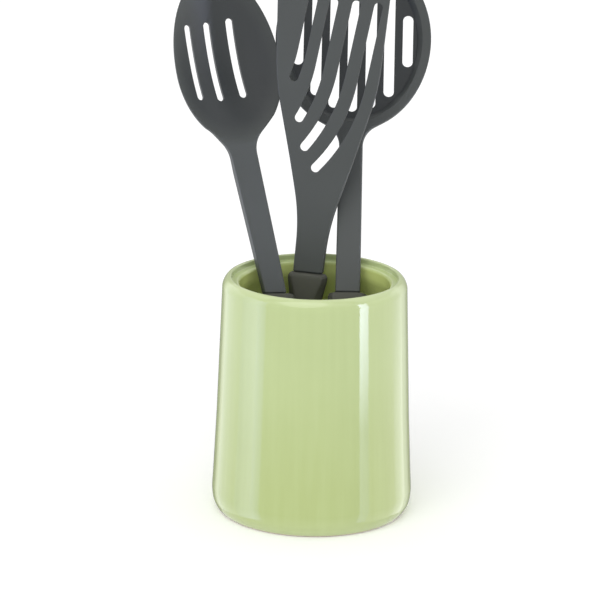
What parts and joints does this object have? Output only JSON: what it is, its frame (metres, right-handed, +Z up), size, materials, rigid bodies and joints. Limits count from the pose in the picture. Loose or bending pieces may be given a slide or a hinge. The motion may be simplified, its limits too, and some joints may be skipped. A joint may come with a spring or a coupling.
{
  "type": "utensil crock",
  "caption": "Glazed stoneware jar with a stepped rim, holding loose nylon kitchen utensils: a slotted spoon, a slotted turner and a skimmer, each with a moulded grip.",
  "frame": {"origin": "centre of the foot ring, on the table", "axes": "+Z up along the jar's axis, -Y to the front, where the utensils show their faces, +X to the right seen from the front"},
  "size_m": [0.1611, 0.1746, 0.3402],
  "materials": {
    "green_glaze": "glossy pale green glaze on fired stoneware",
    "grey_nylon": "fine matt texture of moulded nylon",
    "dark_grip": "smooth matt moulded grip"
  },
  "bodies": {
    "crock": {"crock_body": "green_glaze"},
    "slotted_spoon": {"slotted_spoon_head": "grey_nylon", "slotted_spoon_grip": "dark_grip"},
    "slotted_turner": {"slotted_turner_head": "grey_nylon", "slotted_turner_grip": "dark_grip"},
    "skimmer": {"skimmer_head": "grey_nylon", "skimmer_grip": "dark_grip"}
  },
  "joints": [
    {"name": "spoon_lift", "type": "slide", "parent": "crock", "child": "slotted_spoon", "axis": [-0.2218, 0.2746, 0.9356], "range_m": [0, 0.165]},
    {"name": "turner_lift", "type": "slide", "parent": "crock", "child": "slotted_turner", "axis": [0.0809, 0.1041, 0.9913], "range_m": [0, 0.165]},
    {"name": "skimmer_lift", "type": "slide", "parent": "crock", "child": "skimmer", "axis": [0.0066, 0.4099, 0.9121], "range_m": [0, 0.165]}
  ]
}
